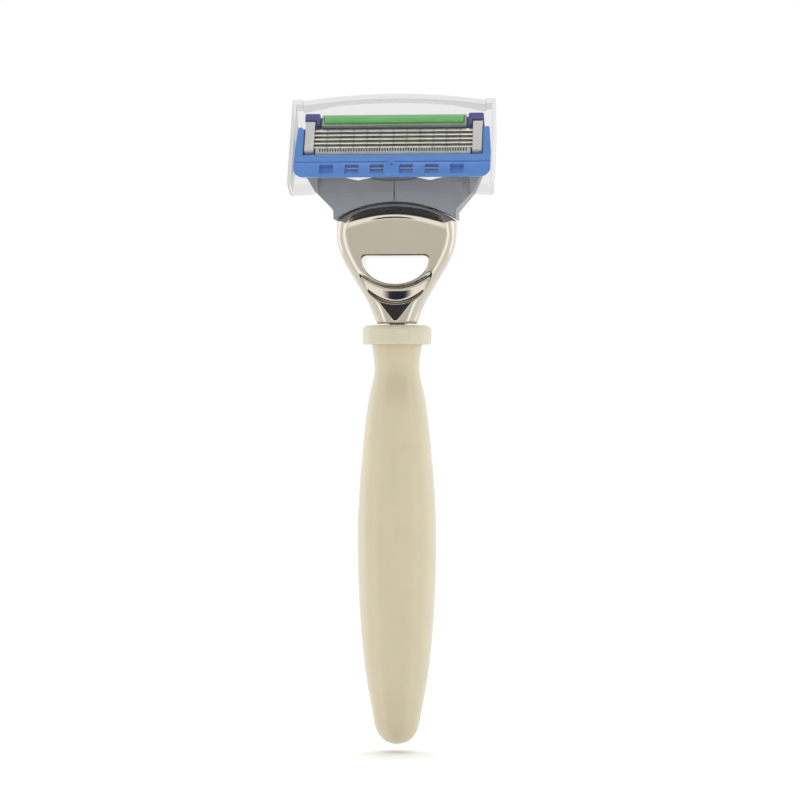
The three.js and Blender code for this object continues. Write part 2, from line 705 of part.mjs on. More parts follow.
function protectiveCover() {
  const side = alongX(polygon([
    [COVER.front, COVER.bottom - 1],
    [COVER.lowBack, COVER.bottom - 1],
    [COVER.lowBack, COVER.bottom + 2],
    [COVER.back, COVER.bottom + 8],
    [COVER.back, 3.5],
    [COVER.topBack, COVER.top],
    [COVER.topBack, 12],
    [COVER.front, 12],
  ]), -25, 25);
  const outer = alongY(coverOutline(0), COVER.front, COVER.back, 12).intersect(side);
  const inner = alongY(coverOutline(COVER.wall), COVER.front + COVER.wall, 20, 12);
  const slits = bothSides((s) => block(
    s * COVER.slitX - COVER.slit / 2, s * COVER.slitX + COVER.slit / 2, -20, 20, -20, COVER.slitTop));
  return cut(outer, inner, ...slits);
}

// ---- the assembly ----
const group = new THREE.Group();

node(group, 'handle_grip', handleGrip(), LOOK.resin);
node(group, 'neck_collar', neckCollar(), LOOK.collar);
node(group, 'seal_washer',
  ring(INSERT_R + 0.4, NECK_R - 0.3, NECK_TOP + WASHER_GAP, NECK_TOP + WASHER_GAP + WASHER_H), LOOK.rubber);
node(group, 'threaded_insert',
  ring(STUD_R + GAP, INSERT_R, NECK_TOP - INSERT_LENGTH, NECK_TOP - 0.4), LOOK.brass);
node(group, 'tang_stud', tangStud(), LOOK.steel);
node(group, 'head_casting', headCasting(), LOOK.chrome);
node(group, 'dock_body', dockBody(), LOOK.black);
node(group, 'release_button', releaseButton(), LOOK.black);
node(group, 'button_spring',
  solid(coil(BUTTON_SPRING.r, BUTTON_SPRING.wire, BUTTON_SPRING.z0, BUTTON_SPRING.z1, 4)
    .translate(0, POCKET.y1 + 1.05, 0)), LOOK.steel);
node(group, 'interconnect', interconnect(), LOOK.grey);
node(group, 'plunger', plunger(), LOOK.grey);
node(group, 'plunger_spring',
  leanWithPlunger(solid(coil(
    PLUNGER_SPRING.r, PLUNGER_SPRING.wire, PLUNGER_SPRING.z0, PLUNGER_SPRING.z1, 5))), LOOK.steel);

const cartridge = new THREE.Group();
cartridge.position.set(...CARTRIDGE_AT);
cartridge.rotation.x = -TILT;
group.add(cartridge);

node(cartridge, 'cartridge_housing', housing(), LOOK.indigo);
node(cartridge, 'guard_elastomer', guardElastomer(), LOOK.blue);
node(cartridge, 'comb_guard', combGuard(), LOOK.paleGrey);
for (let i = 0; i < BLADE_COUNT; i += 1) {
  node(cartridge, `blade_${i + 1}`, blade(i), LOOK.blade);
  node(cartridge, `blade_support_${i + 1}`, bladeSupport(i), LOOK.steel);
}
node(cartridge, 'strip_tray', stripTray(), LOOK.greyGreen);
node(cartridge, 'lubricating_strip', lubricatingStrip(), LOOK.green);
node(cartridge, 'clip_right', clip(1), LOOK.aluminium);
node(cartridge, 'clip_left', clip(-1), LOOK.aluminium);
node(cartridge, 'protective_cover', protectiveCover(), LOOK.clear);

export default group;
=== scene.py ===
"""Looks of a cartridge razor: ivory resin handle, chromed head, grey carrier and a five-blade
cartridge under a clear cover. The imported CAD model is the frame. Sizes in the tables are in
millimetres, and MM turns them into the scene's metres."""

import json
import math

import bmesh
import bpy
import numpy as np
import openvdb
from mathutils import Matrix, Vector


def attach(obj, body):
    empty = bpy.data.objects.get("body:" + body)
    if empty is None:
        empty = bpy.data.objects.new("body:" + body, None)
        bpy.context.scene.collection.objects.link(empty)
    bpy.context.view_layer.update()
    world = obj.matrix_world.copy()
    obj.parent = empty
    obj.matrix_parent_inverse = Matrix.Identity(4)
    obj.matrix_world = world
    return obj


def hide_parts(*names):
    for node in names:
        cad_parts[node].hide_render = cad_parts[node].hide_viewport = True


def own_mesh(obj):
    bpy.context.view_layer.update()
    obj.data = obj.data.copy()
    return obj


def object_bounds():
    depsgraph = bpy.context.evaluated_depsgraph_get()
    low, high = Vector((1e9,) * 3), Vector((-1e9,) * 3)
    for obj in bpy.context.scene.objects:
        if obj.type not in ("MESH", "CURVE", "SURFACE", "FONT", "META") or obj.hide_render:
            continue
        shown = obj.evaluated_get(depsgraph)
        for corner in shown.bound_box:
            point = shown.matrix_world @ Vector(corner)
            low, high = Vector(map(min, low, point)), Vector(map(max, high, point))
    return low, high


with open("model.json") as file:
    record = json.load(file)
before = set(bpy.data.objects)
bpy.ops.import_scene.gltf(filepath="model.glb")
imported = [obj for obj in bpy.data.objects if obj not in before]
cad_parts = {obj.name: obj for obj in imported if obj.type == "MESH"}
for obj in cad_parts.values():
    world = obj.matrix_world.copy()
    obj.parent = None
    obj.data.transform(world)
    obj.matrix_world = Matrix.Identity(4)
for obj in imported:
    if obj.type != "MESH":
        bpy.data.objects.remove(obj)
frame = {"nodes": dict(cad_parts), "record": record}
CAD_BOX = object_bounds()
MM = 0.001

# ---- camera ----
EYE_HEIGHT = -11.8 * MM
EYE_DISTANCE = 0.6
EYE_AZIMUTH = math.radians(5)
AIM_RIGHT = 0.64 * MM
FIELD_WIDTH = 0.1706
SENSOR = 36
CLIP_NEAR, CLIP_FAR = 0.01, 50

# ---- shapes: the CAD model's, with a finer head ----
HANDLE_PROFILE = [
    (5.35, 0), (4.8, -5.4), (6.08, -11.8), (7.36, -22.5), (8.42, -38), (8.0, -56.6),
    (6.82, -69.4), (5.33, -77.9), (4.37, -82.2), (2.67, -84.4), (0, -85.3),
]
NECK_TOP, NECK_R, NECK_LIP = 2.2, 5.3, 0.25
AMBER_TIP = 1.1  # how far up from its end the handle is amber
SPIGOT_BORE, SPIGOT_FLOOR = 3.2, -15.8
COLLAR_R, COLLAR_H, COLLAR_EDGE, COLLAR_HEEL = 7.35, 4.1, 1.1, 0.35
COLLAR_RECESS, COLLAR_CEILING, COLLAR_BORE = 5.6, 3.2, 2.0

HEAD_BOTTOM = 4.4
HEAD_HALF_WIDTH = [
    (4.3, 4.3), (8.6, 5.97), (12.9, 8.42), (17.2, 10.98), (20.6, 12.37), (24.5, 12.95), (31, 13.0),
]
HEAD_HALF_DEPTH = [(4.3, 4.3), (10, 4.7), (17, 5.1), (24, 5.4), (31, 5.5)]
HEAD_CENTRE_Y = -0.5
HEAD_SQUARENESS = (2, 3.6)
HEAD_LOFT_TOP = 30.85
ARC_R, ARC_TOP = 25, 29.85
WINDOW_HALF, WINDOW_TOP, WINDOW_CORNER, WINDOW_DROP = 7.1, 18.7, 0.6, 5.9
DISH_HALF, DISH_DEPTH, DISH_RISE = 8.6, 2.4, 1.8
DISH_Y, DISH_Z, DISH_CURL = -5.2, 10.4, 0.06
DISH_SQUARENESS = (8, 2.6)  # superellipse power in its middle and at its ends
DISH_BOW, DISH_LEAN = 0.0068, 0.05  # its floor is hollow from side to side and leans back
CHAMFER_REACH, CHAMFER_SLOPE = 2.5, 0.28  # the front leans back under the arched top edge
CHAMFER_BACK, CHAMFER_FADE = 1, 4  # Y where that lean ends, and how gently it fades out
SPEAR_LOW, SPEAR_TOP, SPEAR_HALF = 4.6, 8.5, 3.0
SPEAR_DEPTH, SPEAR_END_SLOPE = 1.1, 4
SPEAR_SHORTEST, SPEAR_LONGEST = 0.05, 1.2  # limits of its height, as a share of its length
POCKET_X, POCKET_Y0, POCKET_Y1, POCKET_Z = 7.6, -4.4, 3.2, 20.6
SLOT_X, SLOT_Z0, SLOT_Z1 = 1.6, 21.6, 28
STUD_BORE, STUD_BORE_TOP = 2.0, 9.8
HEAD_Y = (-6, 5)  # the head's front and back at its top
BEYOND = 40  # well outside the head
CELL = 0.22  # grid step of the head's distance field
ROUND = {  # how far each edge of the head is rounded
    "facet": 0.3, "arch": 0.7, "bottom": 0.3, "window": 0.45, "dish": 0.4, "spear": 0.25,
    "inside": 0.25,
}
BUTTON_TRAVEL, PLUNGER_TRAVEL = 3.0, 1.81
WELD_PITCH, WELD_R, WELD_FADE = 2.8, 0.12, 0.3
CARTRIDGE_AT = (0, -8.5, 43.3)
CARTRIDGE_TILT = math.radians(28)
# the ribs across the guard's open windows, on the cartridge's own axes: the indigo housing's ribs,
# coloured pale lilac as a painted highlight
RIB_X = (-8.4, -3.05, 3.05, 8.4)
RIB_SIZE = (3.1, 0.5, 0.26)
RIB_AT = (-0.2, -7.72)


# ---- small maths helpers ----
def table_at(table, at):
    """A smooth curve through (key, value) pairs, read at the keys in at."""
    keys, values = (np.array(c, float) for c in zip(*table))
    slopes = np.gradient(values, keys)
    i = np.clip(np.searchsorted(keys, at) - 1, 0, len(keys) - 2)
    step = keys[i + 1] - keys[i]
    t = np.clip((at - keys[i]) / step, 0, 1)
    h00, h10 = (1 + 2 * t) * (1 - t) ** 2, t * (1 - t) ** 2
    h01, h11 = t * t * (3 - 2 * t), t * t * (t - 1)
    return h00 * values[i] + h10 * step * slopes[i] + h01 * values[i + 1] + h11 * step * slopes[i + 1]


def catmull(points, per_span):
    """A centripetal curve through 2-D points."""
    p = [np.array(q, float) for q in points]
    p = [2 * p[0] - p[1], *p, 2 * p[-1] - p[-2]]
    out = []
    for a, b, c, d in zip(p, p[1:], p[2:], p[3:]):
        ta, tb = 0, math.dist(a, b) ** 0.5
        tc = tb + math.dist(b, c) ** 0.5
        td = tc + math.dist(c, d) ** 0.5
        for t in np.linspace(tb, tc, per_span, endpoint=False):
            ab = ((tb - t) * a + (t - ta) * b) / (tb - ta)
            bc = ((tc - t) * b + (t - tb) * c) / (tc - tb)
            cd = ((td - t) * c + (t - tc) * d) / (td - tc)
            abc = ((tc - t) * ab + (t - ta) * bc) / (tc - ta)
            bcd = ((td - t) * bc + (t - tb) * cd) / (td - tb)
            out.append(((tc - t) * abc + (t - tb) * bcd) / (tc - tb))
    return [tuple(q) for q in [*out, p[-2]]]


def smooth_max(a, b, k):
    """The larger of two distances, rounded over k millimetres where they meet."""
    h = np.maximum(k - np.abs(a - b), 0) / k
    return np.maximum(a, b) + h * h * k / 4


# ---- making pieces ----
def piece(name, mesh, body, node, material):
    """A new mesh piece that rides on a body and stands for one CAD node, or for none."""
    made = bpy.data.objects.new(name, mesh)
    bpy.context.scene.collection.objects.link(made)
    mesh.materials.append(material)
    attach(made, body)
    if node:
        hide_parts(node)
    return made


def lathe(profile):
    """A turned mesh from (radius, height) pairs in millimetres, as a closed loop or axis to axis."""
    segments = 128
    bm = bmesh.new()
    rings = []
    for r, z in profile:
        if r < 1e-6:
            rings.append([bm.verts.new((0, 0, z * MM))])
            continue
        angles = [2 * math.pi * i / segments for i in range(segments)]
        ring = [(r * MM * math.cos(a), r * MM * math.sin(a), z * MM) for a in angles]
        rings.append([bm.verts.new(corner) for corner in ring])
    closed = len(rings[0]) > 1 and profile[0] == profile[-1]
    if closed:
        for v in rings.pop():
            bm.verts.remove(v)
        rings.append(rings[0])
    for low, high in zip(rings, rings[1:]):
        for i in range(segments):
            j = (i + 1) % segments
            face = [low[i % len(low)], low[j % len(low)], high[j % len(high)], high[i % len(high)]]
            bm.faces.new(list(dict.fromkeys(face)))
    bmesh.ops.recalc_face_normals(bm, faces=bm.faces)
    mesh = bpy.data.meshes.new("turned")
    bm.to_mesh(mesh)
    bm.free()
    mesh.shade_smooth()
    return mesh


def rounded_step(centre, radius, start, stop, steps):
    """Points of an arc, for a rounded edge in a turned profile. Angles in degrees."""
    angles = np.radians(np.linspace(start, stop, steps + 1))
    return [(centre[0] + radius * math.cos(a), centre[1] + radius * math.sin(a)) for a in angles]


# ---- handle and collar ----
def handle_mesh():
    outer = [(r, z) for r, z in catmull(HANDLE_PROFILE, 9) if r > 0.02]
    return lathe([
        (0, SPIGOT_FLOOR),
        (SPIGOT_BORE, SPIGOT_FLOOR),
        (SPIGOT_BORE, NECK_TOP),
        *rounded_step((NECK_R - NECK_LIP, NECK_TOP - NECK_LIP), NECK_LIP, 90, 0, 3),
        *outer,
        (0, HANDLE_PROFILE[-1][1]),
    ])


def collar_mesh():
    return lathe([
        (COLLAR_RECESS, 0),
        *rounded_step((COLLAR_R - COLLAR_HEEL, COLLAR_HEEL), COLLAR_HEEL, -90, 0, 5),
        *rounded_step((COLLAR_R - COLLAR_EDGE, COLLAR_H - COLLAR_EDGE), COLLAR_EDGE, 0, 90, 9),
        (COLLAR_BORE, COLLAR_H),
        (COLLAR_BORE, COLLAR_CEILING),
        (COLLAR_RECESS, COLLAR_CEILING),
        (COLLAR_RECESS, 0),
    ])


# ---- chromed head: one distance field, so every edge can be softly polished ----
def first_order(value, *gradient):
    """Turns a field that is 0 on a surface into a rough distance to it."""
    return value / np.maximum(np.sqrt(sum(g * g for g in gradient)), 1e-3)


def loft_field(x, y, z):
    """The head's body: round at the collar, squarer and wider towards the top."""
    t = np.clip((z - HEAD_BOTTOM) / (HEAD_LOFT_TOP - HEAD_BOTTOM), 0, 1)
    a = table_at(HEAD_HALF_WIDTH, z)
    b = table_at(HEAD_HALF_DEPTH, z)
    p = HEAD_SQUARENESS[0] + t * (HEAD_SQUARENESS[1] - HEAD_SQUARENESS[0])
    u = np.abs(x / a) + 1e-4
    v = np.abs((y - t * HEAD_CENTRE_Y) / b) + 1e-4
    r = (u**p + v**p) ** (1 / p)
    return first_order(r - 1, (u / r) ** (p - 1) / a, (v / r) ** (p - 1) / b)


def box_field(x, y, z, low, high):
    """Distance to a box, with low and high as (x, y, z) corners."""
    q = [np.abs(c - (l + h) / 2) - (h - l) / 2 for c, l, h in zip((x, y, z), low, high)]
    outside = np.sqrt(sum(np.maximum(c, 0) ** 2 for c in q))
    return outside + np.minimum(np.maximum(np.maximum(q[0], q[1]), q[2]), 0)


def window_field(x, z):
    """Half an ellipse under a flat top with rounded corners."""
    top = WINDOW_TOP - WINDOW_CORNER
    a, b = WINDOW_HALF, WINDOW_DROP - WINDOW_CORNER
    u, v = x / a, (z - top) / b
    r = np.sqrt(u * u + v * v) + 1e-4
    bowl = first_order(r - 1, u / a / r, v / b / r)
    return smooth_max(np.where(z > top, np.abs(x) - a, bowl), z - WINDOW_TOP, 2 * WINDOW_CORNER)


def dish_field(x, y, z):
    """The curved hollow under the window, a squarish ellipsoid."""
    q = z - DISH_Z - DISH_CURL * x * x
    middle, ends = DISH_SQUARENESS
    p = middle + (ends - middle) * np.clip(np.abs(x) / DISH_HALF, 0, 1)
    sunk = y - DISH_Y + DISH_BOW * x * x - DISH_LEAN * q
    u, v, w = x / DISH_HALF, sunk / DISH_DEPTH, q / DISH_RISE
    r = (np.abs(u) ** p + np.abs(v) ** p + np.abs(w) ** p) ** (1 / p) + 1e-4
    du, dv, dw = (np.sign(c) * (np.abs(c) / r) ** (p - 1) for c in (u, v, w))
    slope = du / DISH_HALF - dw / DISH_RISE * 2 * DISH_CURL * x
    return first_order(r - 1, slope, dv / DISH_DEPTH, dw / DISH_RISE)


def front_face(z):
    """Y of the head's front along its middle."""
    t = np.clip((z - HEAD_BOTTOM) / (HEAD_LOFT_TOP - HEAD_BOTTOM), 0, 1)
    return t * HEAD_CENTRE_Y - table_at(HEAD_HALF_DEPTH, z)


def spear_field(x, y, z):
    """The hollow that widens from a point at the ferrule to the dish's lower edge."""
    length = SPEAR_TOP - SPEAR_LOW
    up = np.clip((z - SPEAR_LOW) / length, SPEAR_SHORTEST, SPEAR_LONGEST)
    depth = SPEAR_DEPTH * up
    roundness = 0.5 * table_at(HEAD_HALF_DEPTH, z) / table_at(HEAD_HALF_WIDTH, z) ** 2
    hollow = np.maximum(depth / (SPEAR_HALF * up) ** 2 - roundness, 0)
    below = np.minimum(z - SPEAR_LOW, 0)
    past = np.maximum(z - DISH_Z - DISH_CURL * x * x, 0)
    sink = depth - hollow * x * x + below - SPEAR_END_SLOPE * past
    return first_order(y - front_face(z) - sink, 2 * hollow * x, 1, SPEAR_DEPTH / length)


def head_field(x, y, z):
    """Negative inside the head."""
    dome = np.sqrt(x * x + (z - ARC_TOP + ARC_R) ** 2) - ARC_R
    loft = loft_field(x, y, z)
    forward = np.clip((CHAMFER_BACK - y) / CHAMFER_FADE, 0, 1)
    chamfer = (loft + CHAMFER_SLOPE * (dome + CHAMFER_REACH) * forward) / math.hypot(1, CHAMFER_SLOPE)
    outer = smooth_max(loft, chamfer, ROUND["facet"])
    outer = smooth_max(outer, dome, ROUND["arch"])
    outer = smooth_max(outer, HEAD_BOTTOM - z, ROUND["bottom"])
    outer = smooth_max(outer, -window_field(x, z), ROUND["window"])
    outer = smooth_max(outer, -dish_field(x, y, z), ROUND["dish"])
    outer = smooth_max(outer, -spear_field(x, y, z), ROUND["spear"])
    pocket = box_field(x, y, z, (-POCKET_X, POCKET_Y0, POCKET_Z), (POCKET_X, POCKET_Y1, BEYOND))
    slot = box_field(x, y, z, (-SLOT_X, 0, SLOT_Z0), (SLOT_X, BEYOND, SLOT_Z1))
    bore = np.maximum(np.sqrt(x * x + y * y) - STUD_BORE, z - STUD_BORE_TOP)
    inner = np.minimum(np.minimum(pocket, slot), bore)
    return smooth_max(outer, -inner, ROUND["inside"])


def field_normal(field, p):
    """The field's slope at points p, from small steps along each axis."""
    h = 0.01
    steps = np.eye(3) * h
    slope = [(field(*(p + s).T) - field(*(p - s).T)) / (2 * h) for s in steps]
    return np.stack(slope, axis=1)


def skin(field, low, high, cell):
    """Closed quad mesh on the field's zero surface, drawn onto it along the field's slope."""
    axes = [np.arange(a, b, cell) for a, b in zip(low, high)]
    grid = openvdb.FloatGrid()
    values = field(*np.meshgrid(*axes, indexing="ij")).astype(np.float32)
    grid.copyFromArray(values)
    points, quads = grid.convertToQuads()
    points = points.astype(float) * cell + np.array([a[0] for a in axes])
    for _ in range(4):
        slope = field_normal(field, points)
        move = slope * (field(*points.T) / np.maximum((slope**2).sum(1), 0.2))[:, None]
        points -= np.clip(move, -cell / 2, cell / 2)
    slope = field_normal(field, points)
    mesh = bpy.data.meshes.new("skin")
    mesh.from_pydata((points * MM).tolist(), [], quads.tolist())
    mesh.shade_smooth()
    mesh.normals_split_custom_set_from_vertices(
        (slope / np.linalg.norm(slope, axis=1)[:, None]).tolist())
    return mesh


def head_mesh():
    margin = 3 * CELL
    half = HEAD_HALF_WIDTH[-1][1] + margin
    low = (-half, HEAD_Y[0] - margin, HEAD_BOTTOM - margin)
    high = (half, HEAD_Y[1] + margin, ARC_TOP + margin)
    return skin(head_field, low, high, CELL)


# ---- cartridge ----
def on_cartridge():
    """Places a mesh drawn on the cartridge's own axes."""
    lean = Matrix.Rotation(-CARTRIDGE_TILT, 4, "X")
    return Matrix.Translation(Vector(CARTRIDGE_AT) * MM) @ lean @ Matrix.Scale(MM, 4)


def window_ribs_mesh():
    """The rib that crosses each open window of the guard; its pale colour is a painted highlight."""
    bm = bmesh.new()
    for x in RIB_X:
        made = bmesh.ops.create_cube(bm, size=1)["verts"]
        bmesh.ops.scale(bm, vec=RIB_SIZE, verts=made)
        bmesh.ops.translate(bm, vec=(x, *RIB_AT), verts=made)
    bmesh.ops.bevel(
        bm, geom=bm.edges, offset=RIB_SIZE[2] / 3, segments=3, affect="EDGES", profile=0.5)
    bm.transform(on_cartridge())
    mesh = bpy.data.meshes.new("window_ribs")
    bm.to_mesh(mesh)
    bm.free()
    mesh.shade_smooth()
    return mesh


# ---- materials ----
def shader(name, color, roughness, metallic=0.0, **sockets):
    """A Principled material. Sockets are given by their names with _ for spaces."""
    material = bpy.data.materials.new(name)
    material.use_nodes = True
    node = material.node_tree.nodes["Principled BSDF"]
    node.inputs["Base Color"].default_value = (*color, 1)
    node.inputs["Roughness"].default_value = roughness
    node.inputs["Metallic"].default_value = metallic
    for key, value in sockets.items():
        node.inputs[key.replace("_", " ")].default_value = value
    return material, node


def srgb(r, g, b):
    """Linear colour of an 8-bit one."""
    return tuple((c / 255 / 12.92) if c <= 10 else ((c / 255 + 0.055) / 1.055) ** 2.4 for c in (r, g, b))


def noise(material, scale, detail=3, stretch=(1, 1, 1)):
    """Noise over the piece's own metres: scale is features per millimetre."""
    tree = material.node_tree
    where = tree.nodes.new("ShaderNodeTexCoord")
    mapping = tree.nodes.new("ShaderNodeMapping")
    mapping.inputs["Scale"].default_value = [scale / MM * s for s in stretch]
    texture = tree.nodes.new("ShaderNodeTexNoise")
    texture.inputs["Scale"].default_value = 1
    texture.inputs["Detail"].default_value = detail
    tree.links.new(where.outputs["Object"], mapping.inputs["Vector"])
    tree.links.new(mapping.outputs["Vector"], texture.inputs["Vector"])
    return texture.outputs["Fac"]


NOISE_LOW, NOISE_HIGH = 0.3, 0.7  # noise stays nearly always between these


def ramp(material, factor, low, high):
    """Noise spread between two colours."""
    tree = material.node_tree
    made = tree.nodes.new("ShaderNodeValToRGB")
    ends = ((NOISE_LOW, low), (NOISE_HIGH, high))
    for element, (position, color) in zip(made.color_ramp.elements, ends):
        element.position = position
        element.color = (*color, 1)
    tree.links.new(factor, made.inputs["Fac"])
    return made.outputs["Color"]


def spread(material, factor, low, high, start=NOISE_LOW, stop=NOISE_HIGH):
    """Factor between start and stop, mapped to a range of numbers."""
    tree = material.node_tree
    made = tree.nodes.new("ShaderNodeMapRange")
    made.inputs["From Min"].default_value, made.inputs["From Max"].default_value = start, stop
    made.inputs["To Min"].default_value, made.inputs["To Max"].default_value = low, high
    tree.links.new(factor, made.inputs["Value"])
    return made.outputs["Result"]


def relief(material, node, height, distance_mm, strength=0.5):
    """Bump from a height."""
    tree = material.node_tree
    bump = tree.nodes.new("ShaderNodeBump")
    bump.inputs["Strength"].default_value = strength
    bump.inputs["Distance"].default_value = distance_mm * MM
    tree.links.new(height, bump.inputs["Height"])
    tree.links.new(bump.outputs["Normal"], node.inputs["Normal"])


SMOOTHEST, ROUGHEST = 0.88, 1.15  # share of a finish's roughness at its noise's ends


def finish_surface(name, color, roughness, metallic=0.0, vary=0.06, grain=6.0, depth=0.01,
                   stretch=(1, 1, 1), spots=0.35, **sockets):
    """A material whose colour drifts slowly, whose gloss varies, and whose surface has a fine grain."""
    color = srgb(*color)
    material, node = shader(name, color, roughness, metallic, **sockets)
    tree = material.node_tree
    slow = noise(material, spots, 2)
    low = tuple(c * (1 - vary) for c in color)
    high = tuple(min(1, c * (1 + vary)) for c in color)
    tree.links.new(ramp(material, slow, low, high), node.inputs["Base Color"])
    fine = noise(material, grain, 3, stretch)
    gloss = spread(material, fine, roughness * SMOOTHEST, min(1, roughness * ROUGHEST))
    tree.links.new(gloss, node.inputs["Roughness"])
    relief(material, node, fine, depth)
    return material


CLEAR_FACE, CLEAR_EDGE = 0.11, 0.62  # how solid clear plastic looks face on and edge on
CLEAR_TURN = 0.4  # share of the turn towards edge on where it starts to darken


def clear_plastic():
    """Thin clear moulding: see-through face on, greyer where it is seen edge on."""
    material, node = shader("clear_plastic", srgb(112, 114, 114), 0.05, 0, IOR=1.46)
    tree = material.node_tree
    edge = tree.nodes.new("ShaderNodeLayerWeight")
    edge.inputs["Blend"].default_value = 0.5
    alpha = spread(material, edge.outputs["Facing"], CLEAR_FACE, CLEAR_EDGE, CLEAR_TURN, 1)
    tree.links.new(alpha, node.inputs["Alpha"])
    relief(material, node, noise(material, 0.25, 2), 0.02, 0.3)
    return material


def mixed(material, factor, low, high):
    """Two colours, or a colour socket and a colour, mixed by a factor."""
    tree = material.node_tree
    made = tree.nodes.new("ShaderNodeMix")
    made.data_type = "RGBA"
    sockets = {s.identifier: s for s in made.inputs}
    tree.links.new(factor, sockets["Factor_Float"])
    for key, value in (("A_Color", low), ("B_Color", high)):
        if isinstance(value, tuple):
            sockets[key].default_value = (*value, 1)
        else:
            tree.links.new(value, sockets[key])
    return next(s for s in made.outputs if s.identifier == "Result_Color")


def number(material, operation, a, b=None):
    """A maths node on sockets or numbers."""
    tree = material.node_tree
    made = tree.nodes.new("ShaderNodeMath")
    made.operation = operation
    for socket, value in zip(made.inputs, (a, b)):
        if isinstance(value, (int, float)):
            socket.default_value = value
        elif value is not None:
            tree.links.new(value, socket)
    return made.outputs[0]


def place(material):
    """The piece's own X, Y and Z in metres."""
    tree = material.node_tree
    where = tree.nodes.new("ShaderNodeTexCoord")
    split = tree.nodes.new("ShaderNodeSeparateXYZ")
    tree.links.new(where.outputs["Object"], split.inputs[0])
    return split.outputs


def recolour(material, change):
    """Puts a colour change between a material's colour and its shader."""
    socket = material.node_tree.nodes["Principled BSDF"].inputs["Base Color"]
    now = socket.links[0].from_socket
    material.node_tree.links.new(change(now), socket)


def golden_tip(material):
    """Colours the handle amber over the last AMBER_TIP millimetres of its end, fading upward."""
    tip = HANDLE_PROFILE[-1][1]
    near = spread(material, place(material)["Z"], 1, 0, tip * MM, (tip + AMBER_TIP) * MM)
    recolour(material, lambda now: mixed(material, near, now, srgb(196, 158, 104)))


def weld_spots(material):
    """A row of small spot welds along each blade."""
    across = number(material, "PINGPONG", place(material)["X"], WELD_PITCH / 2 * MM)
    spot = spread(material, across, 1, 0, WELD_R * MM, WELD_FADE * MM)
    recolour(material, lambda now: mixed(material, spot, now, srgb(172, 170, 160)))


FINISHES = {  # colours as 8-bit sRGB
    "ivory_resin": dict(
        color=(212, 201, 170), roughness=0.4, vary=0.02, grain=1.5, depth=0.004, spots=0.12,
        Subsurface_Weight=0.15, Subsurface_Scale=1.5 * MM, Coat_Weight=0.8, Coat_Roughness=0.1,
        Sheen_Weight=0.3, Sheen_Roughness=0.4),
    "collar_resin": dict(
        color=(214, 208, 182), roughness=0.35, vary=0.015, grain=1.5, depth=0.004,
        Subsurface_Weight=0.2, Subsurface_Scale=1.5 * MM, Coat_Weight=0.8, Coat_Roughness=0.1),
    "chrome": dict(
        color=(226, 219, 205), roughness=0.05, metallic=1.0, vary=0.01, grain=0.8, depth=0.0006,
        spots=0.2),
    "rubber": dict(color=(42, 42, 42), roughness=0.8, grain=8, depth=0.02),
    "brass": dict(
        color=(186, 152, 86), roughness=0.3, metallic=1.0, grain=5, stretch=(0.1, 0.1, 3)),
    "steel": dict(
        color=(176, 174, 164), roughness=0.42, metallic=1.0, grain=7, stretch=(0.05, 1, 1),
        depth=0.006),
    "spring_steel": dict(color=(165, 165, 162), roughness=0.25, metallic=1.0, grain=6),
    "black_plastic": dict(color=(30, 30, 32), roughness=0.5, grain=9, depth=0.012),
    "grey_plastic": dict(color=(142, 145, 150), roughness=0.42, vary=0.02, grain=9, depth=0.006),
    "indigo_plastic": dict(color=(78, 78, 156), roughness=0.4, vary=0.04, grain=9, depth=0.006),
    "blue_elastomer": dict(
        color=(80, 152, 240), roughness=0.42, vary=0.03, grain=10, depth=0.01, Coat_Weight=0.3),
    "pale_grey_plastic": dict(color=(216, 216, 212), roughness=0.45, grain=9, depth=0.006),
    "grey_green_plastic": dict(color=(182, 196, 172), roughness=0.5, grain=9),
    "green_strip": dict(
        color=(124, 216, 118), roughness=0.55, vary=0.07, grain=3, depth=0.03, spots=0.5),
    "clip_aluminium": dict(
        color=(240, 239, 233), roughness=0.36, metallic=0.35, vary=0.02, grain=6,
        stretch=(1, 0.2, 0.08)),
    "blade_steel": dict(
        color=(206, 204, 192), roughness=0.36, metallic=1.0, vary=0.05, grain=4,
        stretch=(0.04, 1, 1), depth=0.003),
    # pale lilac: a painted highlight for the indigo housing's ribs where light catches them
    "indigo_painted_highlight": dict(color=(214, 218, 250), roughness=0.4, grain=9, depth=0.006),
}


def make_materials():
    made = {name: finish_surface(name, **look) for name, look in FINISHES.items()}
    made["clear_plastic"] = clear_plastic()
    golden_tip(made["ivory_resin"])
    weld_spots(made["blade_steel"])
    return made


# ---- CAD nodes that stay, with softened edges ----
SAME_POINT = 0.002  # vertices closer than this are one
FLAT = math.radians(0.6)  # facets that turn less than this are one face
SHARP = math.radians(30)  # edges that turn more than this are rounded


def polish(node, material, bevel_mm):
    """Cleans a CAD node's facets, rounds its sharp edges and gives it a material."""
    kept = frame["nodes"][node]
    mesh = kept.data
    mesh.materials.clear()
    mesh.materials.append(material)
    mesh.attributes.remove(mesh.attributes["custom_normal"])
    mesh.shade_smooth()
    weld = kept.modifiers.new("weld", "WELD")
    weld.merge_threshold = SAME_POINT * MM
    flat = kept.modifiers.new("flat", "DECIMATE")
    flat.decimate_type = "DISSOLVE"
    flat.angle_limit = FLAT
    if bevel_mm:
        bevel = kept.modifiers.new("edges", "BEVEL")
        bevel.width = bevel_mm * MM
        bevel.segments = 2
        bevel.limit_method = "ANGLE"
        bevel.angle_limit = SHARP
        bevel.use_clamp_overlap = True
    even = kept.modifiers.new("even", "WEIGHTED_NORMAL")
    even.keep_sharp = False
    even.weight = 100


BEVELS = {  # edge rounding of the CAD nodes that stay, in millimetres
    "dock_body": 0.15, "release_button": 0.25, "interconnect": 0.18, "cartridge_housing": 0.12,
    "guard_elastomer": 0.22, "comb_guard": 0.05, "strip_tray": 0.08, "lubricating_strip": 0.12,
    "clip_left": 0.08, "clip_right": 0.08, "protective_cover": 0.12, "plunger": 0,
    "seal_washer": 0.1, "threaded_insert": 0.1, "tang_stud": 0,
    **{f"blade_{i}": 0 for i in range(1, 6)},
    **{f"blade_support_{i}": 0.03 for i in range(1, 6)},
}


